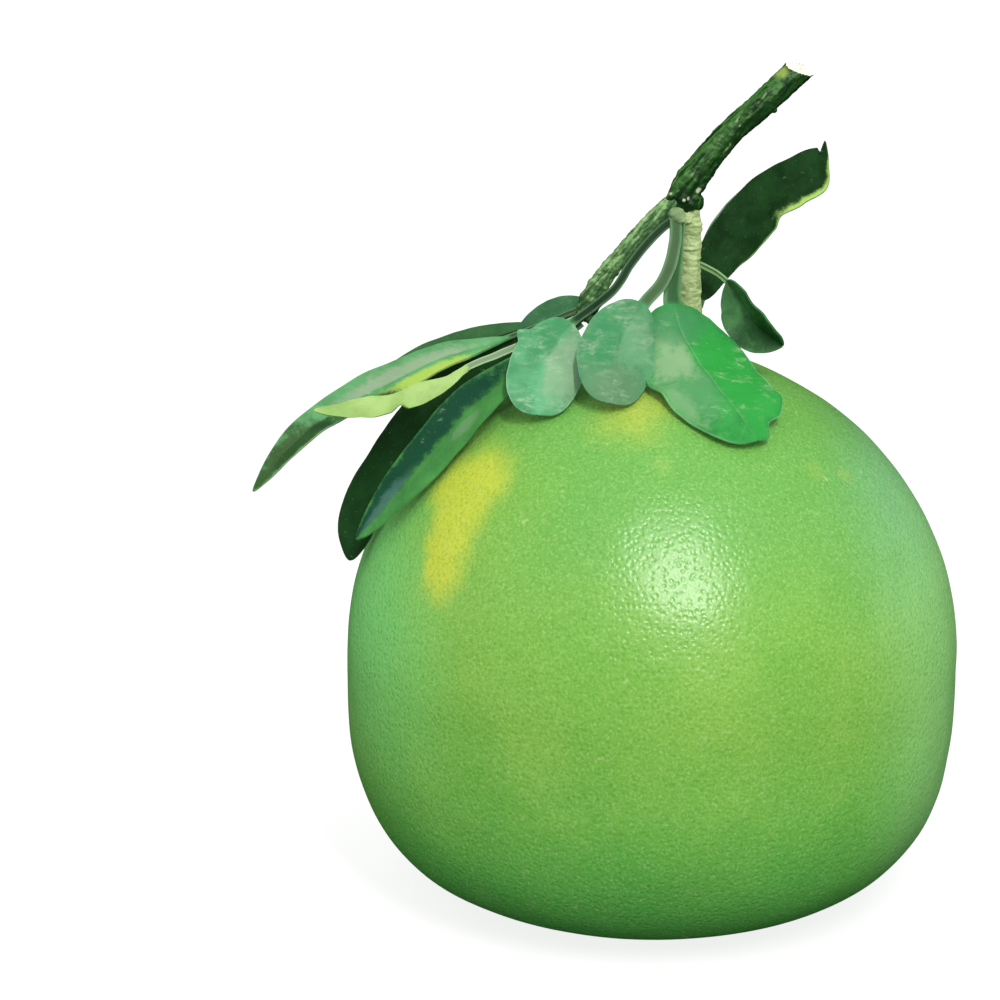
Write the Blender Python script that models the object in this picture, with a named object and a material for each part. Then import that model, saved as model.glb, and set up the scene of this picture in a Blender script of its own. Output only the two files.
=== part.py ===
"""A whole pomelo as picked, resting on its flat blossom end, with its stalk, cut twig and leaves.

Units are metres, +Z is up and the origin is the middle of the flat face that the fruit rests on.
+X is the side that the cut twig leans to, and -Y is the front, where the broad leaves lie.
"""
from math import atan2, cos, exp, pi, radians, sin

import bmesh
import bpy
from mathutils import Vector

MM = 0.001
GAP = 0.3 * MM

# The fruit: a turned body, rounder above its widest level than below it.
FRUIT_RADIUS = 79.5 * MM
WIDEST_HEIGHT = 65.0 * MM
CROWN_HEIGHT = 79.0 * MM
CROWN_ROUNDNESS = 1.97
BELLY_ROUNDNESS = 3.2
REST_RADIUS = 36.0 * MM
FRUIT_SIDES = 56
FRUIT_RINGS = 34

# The stem end lies a little to the right of the axis, in a shallow dimple.
STEM_END_X = 9.5 * MM
DIMPLE_DEPTH = 2.5 * MM
DIMPLE_RADIUS = 11.0 * MM

# The calyx button that fills the dimple.
CALYX_RADIUS = 7.5 * MM
CALYX_HEIGHT = 3.0 * MM
SEPALS = 5

# Stems and leaves.
STALK_RADIUS = 2.9 * MM
STEM_SIDES = 14
LEAF_THICKNESS = 1.0 * MM
LEAF_STATIONS = 18


def clear_scene():
    for thing in list(bpy.data.objects):
        bpy.data.objects.remove(thing, do_unlink=True)


def plain_material(name, colour, roughness):
    material = bpy.data.materials.new(name)
    material.use_nodes = True
    shader = material.node_tree.nodes["Principled BSDF"]
    shader.inputs["Base Color"].default_value = (*colour, 1.0)
    shader.inputs["Roughness"].default_value = roughness
    shader.inputs["Metallic"].default_value = 0.0
    return material


def loft(name, rings, material, sharp_angle=60.0):
    """Join closed rings of equal size into one solid with flat ends."""
    mesh = bpy.data.meshes.new(name)
    shape = bmesh.new()
    layers = [[shape.verts.new(point) for point in ring] for ring in rings]
    count = len(layers[0])
    for lower, upper in zip(layers, layers[1:]):
        for k in range(count):
            after = (k + 1) % count
            shape.faces.new((lower[k], lower[after], upper[after], upper[k]))
    shape.faces.new(layers[0][::-1])
    shape.faces.new(layers[-1])
    bmesh.ops.recalc_face_normals(shape, faces=shape.faces)
    shape.to_mesh(mesh)
    shape.free()
    mesh.materials.append(material)
    mesh.shade_smooth()
    mesh.set_sharp_from_angle(angle=radians(sharp_angle))
    thing = bpy.data.objects.new(name, mesh)
    bpy.context.scene.collection.objects.link(thing)
    return thing


def smooth_path(points, count):
    """Read evenly spaced places, with directions, from a smooth curve through the points."""
    knots = [Vector(point) * MM for point in points]
    knots = [2 * knots[0] - knots[1], *knots, 2 * knots[-1] - knots[-2]]
    fine = []
    for before, start, end, after in zip(knots, knots[1:], knots[2:], knots[3:]):
        for step in range(24):
            t = step / 24
            bend = 2 * before - 5 * start + 4 * end - after
            twist = 3 * start - before - 3 * end + after
            fine.append(start + ((end - before) * t + bend * t ** 2 + twist * t ** 3) / 2)
    fine.append(knots[-2])
    reach = [0.0]
    for start, end in zip(fine, fine[1:]):
        reach.append(reach[-1] + (end - start).length)
    places = []
    index = 0
    for k in range(count):
        target = reach[-1] * k / (count - 1)
        while index < len(fine) - 2 and reach[index + 1] < target:
            index += 1
        share = (target - reach[index]) / (reach[index + 1] - reach[index])
        places.append(fine[index].lerp(fine[index + 1], share))
    directions = []
    for k in range(count):
        ahead = places[min(k + 1, count - 1)]
        behind = places[max(k - 1, 0)]
        directions.append((ahead - behind).normalized())
    return list(zip(places, directions))


def spread(values, share):
    """Interpolate along a short list of values, share running from 0 to 1."""
    place = share * (len(values) - 1)
    index = min(int(place), len(values) - 2)
    return values[index] + (values[index + 1] - values[index]) * (place - index)


# ---------------------------------------------------------------- fruit

def fruit_outline(radius, height, roundness, angle):
    """The point of a superellipse in the direction of the angle."""
    across = abs(cos(angle)) / radius
    along = abs(sin(angle)) / height
    distance = (across ** roundness + along ** roundness) ** (-1.0 / roundness)
    return distance * cos(angle), distance * sin(angle)


def belly_depth():
    """The depth of the belly's superellipse whose cut at the ground has REST_RADIUS."""
    remaining = 1.0 - (REST_RADIUS / FRUIT_RADIUS) ** BELLY_ROUNDNESS
    return WIDEST_HEIGHT / remaining ** (1.0 / BELLY_ROUNDNESS)


def dimple(x, y):
    """How far the rind sinks around the stem end."""
    distance_squared = (x - STEM_END_X) ** 2 + y ** 2
    return DIMPLE_DEPTH * exp(-distance_squared / DIMPLE_RADIUS ** 2)


def crown_height(x, y):
    """The height of the rind above the ground near the stem end."""
    share = 1.0 - ((x * x + y * y) ** 0.5 / FRUIT_RADIUS) ** CROWN_ROUNDNESS
    return WIDEST_HEIGHT + CROWN_HEIGHT * share ** (1.0 / CROWN_ROUNDNESS) - dimple(x, y)


def make_fruit():
    start = atan2(-WIDEST_HEIGHT, REST_RADIUS)
    end = pi / 2 - 0.03
    rings = []
    for k in range(FRUIT_RINGS):
        angle = start + (end - start) * k / (FRUIT_RINGS - 1)
        if angle < 0:
            radius, height = fruit_outline(FRUIT_RADIUS, belly_depth(), BELLY_ROUNDNESS, angle)
        else:
            radius, height = fruit_outline(FRUIT_RADIUS, CROWN_HEIGHT, CROWN_ROUNDNESS, angle)
        ring = []
        for side in range(FRUIT_SIDES):
            turn = 2 * pi * side / FRUIT_SIDES
            x = radius * cos(turn)
            y = radius * sin(turn)
            z = WIDEST_HEIGHT + height
            if angle > 0:
                z -= dimple(x, y)
            ring.append((x, y, z))
        rings.append(ring)
    rings[0] = [(x, y, 0.0) for x, y, z in rings[0]]
    rind = plain_material("rind", (0.21, 0.52, 0.09), 0.38)
    return loft("pomelo", rings, rind)


def make_calyx():
    """A low button with blunt sepals, its underside following the dimple."""
    rim_turns = 30
    top = crown_height(STEM_END_X, 0.0) + GAP + CALYX_HEIGHT
    rings = []
    for radius, lift in ((0.3, 0), (0.65, 0), (1.0, 0), (1.0, 0.45), (0.86, 0.85), (0.6, 1.0)):
        ring = []
        for side in range(rim_turns):
            turn = 2 * pi * side / rim_turns
            lobe = 1.0 + 0.13 * cos(SEPALS * turn) * radius
            x = STEM_END_X + CALYX_RADIUS * radius * lobe * cos(turn)
            y = CALYX_RADIUS * radius * lobe * sin(turn)
            bed = crown_height(x, y) + GAP
            ring.append((x, y, bed + (top - bed) * lift))
        rings.append(ring)
    green = plain_material("calyx_green", (0.2, 0.3, 0.09), 0.6)
    return loft("calyx", rings, green)


# ---------------------------------------------------------------- stems

def stem(name, points, radii, material, first_face=None, last_face=None, stations=16, swell=0.0):
    """A round stem along a smooth path; its end faces can be cut to a given normal."""
    path = smooth_path(points, stations)
    side = path[0][1].orthogonal().normalized()
    rings = []
    for k, (place, direction) in enumerate(path):
        side = (side - direction * side.dot(direction)).normalized()
        other = direction.cross(side)
        radius = spread(radii, k / (stations - 1)) * MM * (1.0 + swell * (k % 2))
        ring = []
        for step in range(STEM_SIDES):
            turn = 2 * pi * step / STEM_SIDES
            ring.append(place + (side * cos(turn) + other * sin(turn)) * radius)
        rings.append(ring)
    for index, face in ((0, first_face), (-1, last_face)):
        if face is not None:
            normal = Vector(face).normalized()
            place, direction = path[index]
            rings[index] = [
                point - direction * ((point - place).dot(normal) / direction.dot(normal))
                for point in rings[index]
            ]
    return loft(name, rings, material)


def make_stems():
    corky = plain_material("corky_stalk", (0.32, 0.42, 0.18), 0.8)
    bark = plain_material("green_bark", (0.05, 0.12, 0.04), 0.65)
    rough_bark = plain_material("rough_bark", (0.09, 0.19, 0.07), 0.7)
    stalk_foot = (crown_height(STEM_END_X, 0.0) + CALYX_HEIGHT + 2 * GAP) / MM
    stalk_width = STALK_RADIUS / MM
    stem(
        "fruit_stalk",
        [(STEM_END_X / MM, 0, stalk_foot), (9.2, 0, 152), (8.8, 0, 166), (9.4, 0, 180.9)],
        [1.2 * stalk_width, 1.05 * stalk_width, stalk_width, 0.9 * stalk_width, 1.1 * stalk_width],
        corky,
        first_face=(0, 0, 1),
        last_face=(-0.5, 0, 0.87),
        stations=20,
        swell=0.05,
    )
    twig_foot = Vector((4.4, -1.2, 181.8))
    side_start = Vector((4.1, -1.4, 181.3))
    branching = Vector((0.62, 0.25, 0.74))
    stem(
        "main_twig",
        [twig_foot, (7.4, 0, 185.8), (11, 1, 191), (15, 2, 196), (19.4, 3, 200.8), (25, 4, 205.5),
         (30, 5, 210), (36.5, 7, 215.5)],
        [3.3, 4.2, 3.6, 3.3, 3.3, 3.4, 3.5, 3.5],
        bark,
        first_face=branching,
        last_face=(0.35, -0.2, 0.9),
        stations=22,
    )
    stem(
        "side_twig",
        [side_start, (-1, -3.2, 176.5), (-7, -6, 170), (-11, -8, 166), (-15, -9, 160.5),
         (-18.4, -9.4, 154.5)],
        [2.6, 2.4, 2.3, 2.2, 2.5, 2.9, 2.1],
        rough_bark,
        first_face=branching,
        stations=18,
        swell=0.04,
    )


# ---------------------------------------------------------------- leaves

def leaf(name, colour, points, half_width, blade_from, face, tip_face=None,
         skew=1.0, bluntness=0.6, fold=12.0, petiole=0.8, tip=0.25):
    """A thin leaf along its midrib: a narrow petiole, then a blade folded a little on the midrib.

    face is where the upper side looks, skew moves the widest place towards the tip, and
    bluntness below 0.5 gives a rounder end than an ellipse.
    """
    green = plain_material(name + "_green", colour, 0.45)
    path = smooth_path(points, LEAF_STATIONS)
    start_face = Vector(face).normalized()
    end_face = Vector(tip_face or face).normalized()
    rings = []
    for k, (place, direction) in enumerate(path):
        share = k / (LEAF_STATIONS - 1)
        look = start_face.lerp(end_face, share)
        upper = (look - direction * look.dot(direction)).normalized()
        across = direction.cross(upper)
        blade = max(0.0, (share - blade_from) / (1.0 - blade_from))
        width = half_width * sin(pi * min(blade, 1.0) ** skew) ** bluntness if 0 < blade < 1 else 0.0
        width = max(width, petiole if blade < 0.5 else tip) * MM
        lift = radians(fold) * min(1.0, 4 * blade)
        top = []
        bottom = []
        for step in (-1.0, -0.5, 0.0, 0.5, 1.0):
            point = place + across * (step * width * cos(lift)) + upper * (abs(step) * width * sin(lift))
            top.append(point + upper * LEAF_THICKNESS / 2)
            bottom.append(point - upper * LEAF_THICKNESS / 2)
        rings.append(top + bottom[::-1])
    return loft(name, rings, green, sharp_angle=50.0)


def make_leaves():
    leaf(
        "leaf_front_right", (0.065, 0.44, 0.09),
        [(6.8, -4.8, 178), (5, -7, 170), (3.4, -9.5, 162), (4.8, -11, 155), (9.4, -17, 148.4),
         (14.2, -26.5, 142.6), (19, -35, 137.2), (23, -42, 131.5)],
        13.8, 0.36, (0.25, -0.6, 0.75), skew=1.08, bluntness=0.42, fold=-6.0, tip=3.0,
    )
    leaf(
        "leaf_front_middle", (0.12, 0.4, 0.19),
        [(4.2, -5.2, 177.2), (0.6, -9, 169), (-3, -13, 161.5), (-8, -16, 157), (-10.5, -20.5, 150.5),
         (-12, -27, 145), (-13.2, -33.5, 139.5)],
        10.0, 0.36, (0.3, -0.8, 0.55), bluntness=0.45, fold=-5.0, tip=2.5,
    )
    leaf(
        "leaf_front_left", (0.16, 0.5, 0.27),
        [(2.4, -5.0, 175), (-4.5, -8.8, 166.5), (-10, -12.5, 160), (-17.5, -15.5, 155),
         (-22.8, -18.5, 149.5), (-27.2, -22.5, 143), (-31.5, -28, 136)],
        9.2, 0.44, (0.25, -0.8, 0.55), bluntness=0.45, fold=-5.0, tip=2.5,
    )
    leaf(
        "leaf_small_dark", (0.05, 0.28, 0.09),
        [(-16, -5.4, 158.6), (-20, -3.6, 157), (-27, -3, 154), (-35, -2.5, 149.5)],
        3.4, 0.12, (-0.1, -0.7, 0.7), fold=15.0,
    )
    leaf(
        "leaf_long", (0.13, 0.43, 0.17),
        [(-22, -8, 156.2), (-35.5, -8, 150.2), (-45.5, -9, 147), (-54.5, -10, 144.5), (-64.5, -12, 140),
         (-77, -14, 134), (-90, -16, 125.5), (-102, -18, 112)],
        4.4, 0.26, (-0.2, -0.6, 0.75), tip_face=(-0.4, -0.8, 0.4), bluntness=0.7, fold=22.0,
    )
    leaf(
        "leaf_pale", (0.47, 0.7, 0.25),
        [(-22, -12.6, 154.4), (-39.5, -16.5, 147.2), (-47.5, -19, 144), (-52, -21.5, 140.5),
         (-58, -23, 138), (-64.5, -24, 136), (-77, -24, 134.5), (-86, -22, 134)],
        3.4, 0.42, (0.1, -0.7, 0.7), bluntness=0.6, fold=-10.0,
    )
    leaf(
        "leaf_behind", (0.05, 0.17, 0.05),
        [(-20, -4.6, 153.8), (-34.5, 1.5, 149.4), (-52, 5, 144.5), (-68.5, 8, 138.5)],
        4.2, 0.2, (-0.2, -0.4, 0.85), bluntness=0.8, fold=15.0,
    )
    leaf(
        "leaf_dark_low", (0.012, 0.05, 0.012),
        [(-22, -8.8, 152.2), (-38, -9, 144), (-53.5, -9, 132), (-66.5, -9, 116.5), (-75, -10, 104),
         (-78, -12, 92)],
        8.2, 0.12, (-0.5, -0.75, 0.45), bluntness=0.75, fold=4.0,
    )
    leaf(
        "leaf_shoulder", (0.07, 0.3, 0.08),
        [(-20.6, -13.2, 152.2), (-30, -14, 146.3), (-39.5, -14.8, 140.5), (-50.5, -16.5, 132),
         (-57, -18.5, 125), (-64, -20.5, 117), (-71, -22, 108), (-76, -24, 101)],
        6.0, 0.2, (-0.45, -0.8, 0.4), bluntness=0.7, fold=24.0,
    )
    leaf(
        "leaf_tall", (0.018, 0.07, 0.018),
        [(12.4, 4.6, 157.5), (15.2, 7.5, 164.5), (20.6, 10, 172), (28.2, 12, 179.8), (36.5, 13, 186.5),
         (44, 15, 193.5)],
        6.6, 0.08, (0.0, -0.95, 0.3), tip_face=(-0.3, -0.9, 0.3), skew=1.25, bluntness=0.5, fold=8.0,
        tip=1.5,
    )
    leaf(
        "leaf_hanging", (0.06, 0.24, 0.07),
        [(12.4, -0.8, 166.2), (17, -3, 164), (21.4, -6, 159), (25.5, -8, 152.5), (32, -9, 147.5)],
        6.0, 0.28, (-0.7, -0.65, 0.1), bluntness=0.7, fold=38.0, petiole=0.7,
    )


clear_scene()
make_fruit()
make_calyx()
make_stems()
make_leaves()
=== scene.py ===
"""A whole green pomelo as picked, with its stalk, cut twig and leaves: the looks.

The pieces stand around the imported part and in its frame: metres, +Z up, with the origin in the
middle of the flat that the fruit rests on.
"""
from math import atan2, cos, pi, radians, sin

import bmesh
import bpy
from mathutils import Matrix, Vector


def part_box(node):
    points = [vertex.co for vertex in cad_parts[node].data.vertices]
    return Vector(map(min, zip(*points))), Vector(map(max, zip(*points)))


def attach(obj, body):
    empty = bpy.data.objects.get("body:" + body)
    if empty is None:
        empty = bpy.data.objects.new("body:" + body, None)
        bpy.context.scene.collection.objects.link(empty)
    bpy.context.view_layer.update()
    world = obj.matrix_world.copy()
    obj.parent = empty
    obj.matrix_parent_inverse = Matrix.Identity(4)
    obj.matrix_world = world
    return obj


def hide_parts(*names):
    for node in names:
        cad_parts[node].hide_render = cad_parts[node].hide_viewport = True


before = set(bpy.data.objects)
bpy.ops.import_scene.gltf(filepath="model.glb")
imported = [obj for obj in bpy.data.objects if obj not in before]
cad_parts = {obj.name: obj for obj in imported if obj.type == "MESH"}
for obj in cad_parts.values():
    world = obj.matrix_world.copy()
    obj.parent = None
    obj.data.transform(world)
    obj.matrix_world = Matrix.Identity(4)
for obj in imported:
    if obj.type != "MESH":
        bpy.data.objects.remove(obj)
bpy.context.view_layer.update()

# ---- The fruit ------------------------------------------------------------------------------
# One grown body: a thick waxy rind, pitted all over by its oil glands. It is widest a little
# below half its height, stands on its flattened blossom end with the round scar of the flower,
# and sinks in a shallow dimple where the stalk joins it.

fruit_low, fruit_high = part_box("pomelo")
fruit_width = fruit_high.x - fruit_low.x
mm = fruit_width / 159
fruit_radius = 79.5 * mm
widest_level = 65 * mm
crown = 79 * mm
crown_roundness = 1.97
belly_roundness = 3.2
rest_radius = 36 * mm
flat_share = (rest_radius / fruit_radius) ** belly_roundness
belly = widest_level / (1 - flat_share) ** (1 / belly_roundness)
flat_rings = 8
belly_rings = 54
crown_rings = 84
stem_end = Vector((9.5 * mm, 0, fruit_high.z))
dimple_depth = 2.5 * mm
dimple_reach = 20 * mm
scar_depth = 1.6 * mm
scar_reach = 7 * mm
even_below = 20 * mm


def rind_point(height, roundness, angle):
    """A point of the rind's outline, the angle counted from the widest level."""
    across = abs(cos(angle)) / fruit_radius
    along = abs(sin(angle)) / height
    reach = (across ** roundness + along ** roundness) ** (-1 / roundness)
    return Vector((reach * cos(angle), 0, widest_level + reach * sin(angle)))


def pick(chosen):
    """In edit mode, select the points whose place passes the test, and the faces between them."""
    mesh = bpy.context.object.data
    shape = bmesh.from_edit_mesh(mesh)
    shape.select_mode = {"VERT"}
    for point in shape.verts:
        point.select = bool(chosen(point.co))
    shape.select_flush_mode()
    bmesh.update_edit_mesh(mesh)


def soft_pull(move, reach):
    """In edit mode, move what is selected, and let what lies within reach of it follow."""
    bpy.ops.transform.translate(
        value=move,
        use_proportional_edit=True,
        proportional_edit_falloff="SMOOTH",
        proportional_size=reach,
    )


def finish_modifier(piece, kind, **settings):
    """Add a modifier with these settings and apply it."""
    modifier = piece.modifiers.new(kind.lower(), kind)
    for setting, value in settings.items():
        setattr(modifier, setting, value)
    bpy.ops.object.select_all(action="DESELECT")
    bpy.context.view_layer.objects.active = piece
    piece.select_set(True)
    bpy.ops.object.modifier_apply(modifier=modifier.name)


def cloud(name, size, depth=2):
    """A soft random relief whose lumps are about this size."""
    relief = bpy.data.textures.new(name, "CLOUDS")
    relief.noise_scale = size
    relief.noise_depth = depth
    return relief


bpy.ops.object.select_all(action="DESELECT")
bpy.ops.mesh.primitive_plane_add(size=mm)
rind = bpy.context.object
rind.name = "rind"
bpy.ops.object.mode_set(mode="EDIT")
bpy.ops.mesh.merge(type="CENTER")
outline = [Vector((rest_radius * step / flat_rings, 0, 0)) for step in range(1, flat_rings + 1)]
lowest = atan2(widest_level, rest_radius)
outline += [
    rind_point(belly, belly_roundness, lowest * (step / belly_rings - 1))
    for step in range(1, belly_rings)
]
outline += [
    rind_point(crown, crown_roundness, pi / 2 * step / crown_rings)
    for step in range(crown_rings + 1)
]
reached = Vector((0, 0, 0))
for point in outline:
    bpy.ops.mesh.extrude_region_move(TRANSFORM_OT_translate={"value": point - reached})
    reached = point
bpy.ops.mesh.select_all(action="SELECT")
bpy.ops.mesh.spin(steps=240, angle=2 * pi, center=(0, 0, 0), axis=(0, 0, 1))
bpy.ops.mesh.select_all(action="SELECT")
bpy.ops.mesh.remove_doubles(threshold=0.01 * mm)
bpy.ops.mesh.normals_make_consistent(inside=False)

# The dimple at the stem end, and the scar of the flower in the middle of the flat.
pick(lambda at: (at.xy - stem_end.xy).length < 1.2 * mm and at.z > crown)
soft_pull((0, 0, -dimple_depth), dimple_reach)
pick(lambda at: at.xy.length < 3 * mm and at.z < mm)
soft_pull((0, 0, scar_depth), scar_reach)
bpy.ops.object.mode_set(mode="OBJECT")
uneven = rind.vertex_groups.new(name="uneven")
for point in rind.data.vertices:
    uneven.add([point.index], min(1, point.co.z / even_below), "REPLACE")
finish_modifier(
    rind, "DISPLACE", texture=cloud("rind_lumps", 0.04), strength=1.6 * mm,
    vertex_group="uneven", texture_coords="LOCAL",
)
bpy.ops.object.shade_smooth()


class Number:
    """A value from one of a finish's nodes, used in sums like a plain number."""

    def __init__(self, finish, socket):
        self.finish = finish
        self.socket = socket

    def work_out(self, operation, first, second=0.0):
        return self.finish.node("ShaderNodeMath", {"operation": operation}, {0: first, 1: second})

    def __add__(self, other):
        return self.work_out("ADD", self, other)

    def __sub__(self, other):
        return self.work_out("SUBTRACT", self, other)

    def __rsub__(self, other):
        return self.work_out("SUBTRACT", other, self)

    def __mul__(self, other):
        return self.work_out("MULTIPLY", self, other)

    def __truediv__(self, other):
        return self.work_out("DIVIDE", self, other)

    def __pow__(self, other):
        return self.work_out("POWER", self, other)

    def __abs__(self):
        return self.work_out("ABSOLUTE", self)

    __radd__ = __add__
    __rmul__ = __mul__


class Finish:
    """One material, its nodes added a call at a time."""

    def __init__(self, name, roughness, gloss):
        self.material = bpy.data.materials.new(name)
        self.material.use_nodes = True
        self.tree = self.material.node_tree
        self.shader = self.tree.nodes["Principled BSDF"]
        self.shader.inputs["Roughness"].default_value = roughness
        self.shader.inputs["Specular IOR Level"].default_value = gloss

    def feed(self, socket, value):
        if isinstance(value, Number):
            self.tree.links.new(value.socket, socket)
        elif socket.type == "RGBA":
            socket.default_value = (*value, 1.0)
        else:
            socket.default_value = value

    def node(self, kind, settings, sockets, output=0):
        made = self.tree.nodes.new(kind)
        for setting, value in settings.items():
            setattr(made, setting, value)
        for socket, value in sockets.items():
            self.feed(made.inputs[socket], value)
        return Number(self, made.outputs[output])

    def show(self, socket, value):
        self.feed(self.shader.inputs[socket], value)

    def place(self):
        return self.node("ShaderNodeTexCoord", {}, {}, "Object")

    def part_of(self, vector, axis):
        return self.node("ShaderNodeSeparateXYZ", {}, {0: vector}, axis)

    def noise(self, place, scale, detail=2.0, roughness=0.5):
        sockets = {"Vector": place, "Scale": scale, "Detail": detail, "Roughness": roughness}
        return self.node("ShaderNodeTexNoise", {}, sockets)

    def rise(self, value, low, high):
        """A soft step from 0 at low to 1 at high."""
        sockets = {"Value": value, "From Min": low, "From Max": high}
        return self.node("ShaderNodeMapRange", {"interpolation_type": "SMOOTHSTEP"}, sockets)

    def mix(self, mask, first, second):
        return self.node("ShaderNodeMix", {"data_type": "RGBA"}, {0: mask, 6: first, 7: second}, 2)

    def spot(self, place, centre, inner, outer):
        """1 inside the inner radius around a point, and 0 outside the outer one."""
        sockets = {0: place, 1: centre}
        away = self.node("ShaderNodeVectorMath", {"operation": "DISTANCE"}, sockets, "Value")
        return 1 - self.rise(away, inner, outer)

    def bump(self, height, depth, strength=1.0):
        """Relief of this depth, from a height between 0 and 1."""
        sockets = {"Height": height, "Distance": depth, "Strength": strength}
        self.show("Normal", self.node("ShaderNodeBump", {}, sockets))


rind_green = (0.190, 0.480, 0.060)
light_green = (0.245, 0.520, 0.072)
belly_shade_green = (0.058, 0.415, 0.070)
shoulder_green = (0.145, 0.440, 0.085)
painted_sheen_green = (0.200, 0.520, 0.290)
left_lit_green = (0.220, 0.760, 0.220)
right_lit_green = (0.320, 0.730, 0.260)
pit_green = (0.070, 0.290, 0.030)
grain_light = (0.480, 0.720, 0.280)
grain_dark = (0.080, 0.300, 0.030)
speck_tan = (0.560, 0.700, 0.300)
ripening_green = (0.270, 0.520, 0.060)
ripe_yellow = (0.560, 0.650, 0.050)
top_yellow_green = (0.440, 0.560, 0.070)
pale_mark = (0.520, 0.620, 0.120)
rind_roughness = 0.31

skin = Finish("pomelo_rind", roughness=rind_roughness, gloss=0.65)
place = skin.place()
height = skin.part_of(place, "Z")
side = skin.part_of(place, "X")
# Oil glands about 1.5 mm apart: each is a small pit, a little darker than the rind round it.
glands = {"Vector": place, "Scale": 720.0, "Randomness": 0.85}
gland = skin.node("ShaderNodeTexVoronoi", {}, glands)
tint = skin.part_of(skin.node("ShaderNodeTexVoronoi", {}, glands, "Color"), "X")
pit = 1 - skin.rise(gland, 0.10, 0.75)
grain = skin.noise(place, 1500.0, 3.0, 0.65)
clouding = skin.noise(place, 38.0, 4.0, 0.55)
colour = skin.mix(skin.rise(clouding, 0.30, 0.70), rind_green, light_green)
# Painted shade: the belly is painted a deeper, darker green towards the bottom. The upper part is
# a deeper, bluer green.
painted_belly_shade = 1 - skin.rise(height + clouding * 0.012, 0.012, 0.078)
colour = skin.mix(painted_belly_shade * 0.85, colour, belly_shade_green)
upper = skin.rise(height, 0.082, 0.118)
colour = skin.mix(upper * 0.8, colour, shoulder_green)
# Painted reflection: a bluish sheen painted on the right shoulder.
right_shoulder_sheen = skin.rise(side + clouding * 0.02, 0.045, 0.080) * skin.rise(height, 0.07, 0.120)
colour = skin.mix(right_shoulder_sheen * 0.75, colour, painted_sheen_green)
# Painted light: the left flank and the right edge are painted a lighter green.
left_painted_light = skin.rise(0 - side, 0.045, 0.078) * skin.rise(height, 0.02, 0.085)
colour = skin.mix(left_painted_light * 0.85, colour, left_lit_green)
right_painted_light = skin.rise(side, 0.045, 0.078)
colour = skin.mix(right_painted_light * 0.7, colour, right_lit_green)
# Yellow where the rind ripens first: a long patch on the front left and a small one at the top.
# The noise that makes their edges ragged also moves them, by half its depth on average.
ragging = 16 * mm
moved = Vector((8, 8, 8))
wander = {"Vector": place, "Scale": 55.0, "Detail": 4.0}
ragged = skin.node(
    "ShaderNodeVectorMath", {"operation": "MULTIPLY_ADD"},
    {0: skin.node("ShaderNodeTexNoise", {}, wander, "Color"), 1: [ragging] * 3, 2: place},
)
yellow = skin.spot(ragged, (Vector((-46, -33, 118.5)) + moved) * mm, 0, 21 * mm)
for centre, size in (((-50, -33, 117), 18), ((-49, -39, 111), 17), ((-51, -43, 106), 16),
                     ((-52, -47, 100), 14)):
    more = skin.spot(ragged, (Vector(centre) + moved) * mm, 0, size * mm)
    yellow = yellow.work_out("MAXIMUM", yellow, more)
ripening = skin.spot(ragged, (Vector((-45, -39, 111)) + moved) * mm, 4 * mm, 36 * mm)
top_yellow = skin.spot(ragged, (Vector((-5, -33, 136)) + moved) * mm, 0, 17 * mm)
colour = skin.mix(ripening * 0.55, colour, ripening_green)
colour = skin.mix(top_yellow * 0.95, colour, top_yellow_green)
colour = skin.mix(skin.rise(yellow, 0.10, 0.85) * 0.97, colour, ripe_yellow)
for centre in ((46, -32.5, 120), (38, -38, 122.6), (0, -49, 126.6)):
    paler = skin.spot(place, Vector(centre) * mm, 0, 4.5 * mm) * clouding
    colour = skin.mix(paler * 0.4, colour, pale_mark)
# The glands and the fine grain, and a few pale corky specks.
colour = skin.mix(pit * (0.06 + tint * 0.12), colour, pit_green)
colour = skin.mix(skin.rise(grain, 0.52, 0.66) * 0.32, colour, grain_light)
colour = skin.mix(skin.rise(grain, 0.48, 0.36) * 0.32, colour, grain_dark)
speck = skin.rise(skin.noise(place, 330.0, 2.0), 0.72, 0.77)
colour = skin.mix(speck * 0.35, colour, speck_tan)
skin.show("Base Color", colour)
skin.show("Roughness", rind_roughness - pit * 0.04 + clouding * 0.03)
dent = skin.rise(gland, 0.06, 0.62)
skin.bump(dent * 0.52 + grain * 0.42 + clouding * 0.4, 0.155 * mm)
rind.data.materials.append(skin.material)
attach(rind, "root")
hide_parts("pomelo")

# ---- The calyx ------------------------------------------------------------------------------
# The green button of five blunt sepals that sits in the dimple and holds the stalk. It is dull
# and a little corky, and grown to the rind.

calyx_low, calyx_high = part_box("calyx")
sepals = 5
sepal_depth = 0.10
button_sides = 60
button_radius = (calyx_high.x - calyx_low.x) / 2 * 0.88
button_height = calyx_high.z - calyx_low.z
wall_height = button_height * 0.55
bpy.ops.object.select_all(action="DESELECT")
bpy.ops.mesh.primitive_cylinder_add(
    vertices=button_sides, radius=button_radius, depth=wall_height, end_fill_type="TRIFAN",
    location=(stem_end.x, 0, calyx_low.z + wall_height / 2),
)
calyx = bpy.context.object
calyx.name = "calyx_button"
bpy.ops.object.transform_apply(location=True, rotation=True, scale=True)
calyx_middle = Vector((stem_end.x, 0, calyx_low.z))
wall_top = calyx_low.z + wall_height
bpy.ops.object.mode_set(mode="EDIT")
for turn in range(button_sides):
    angle = 2 * pi * turn / button_sides
    way = Vector((cos(angle), sin(angle)))
    pick(lambda at: (at - calyx_middle).xy.length > mm
         and (at - calyx_middle).xy.angle(way) < radians(2))
    lobed = 1 + sepal_depth * cos(sepals * angle)
    bpy.ops.transform.resize(value=(lobed, lobed, 1), center_override=calyx_middle)
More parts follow.
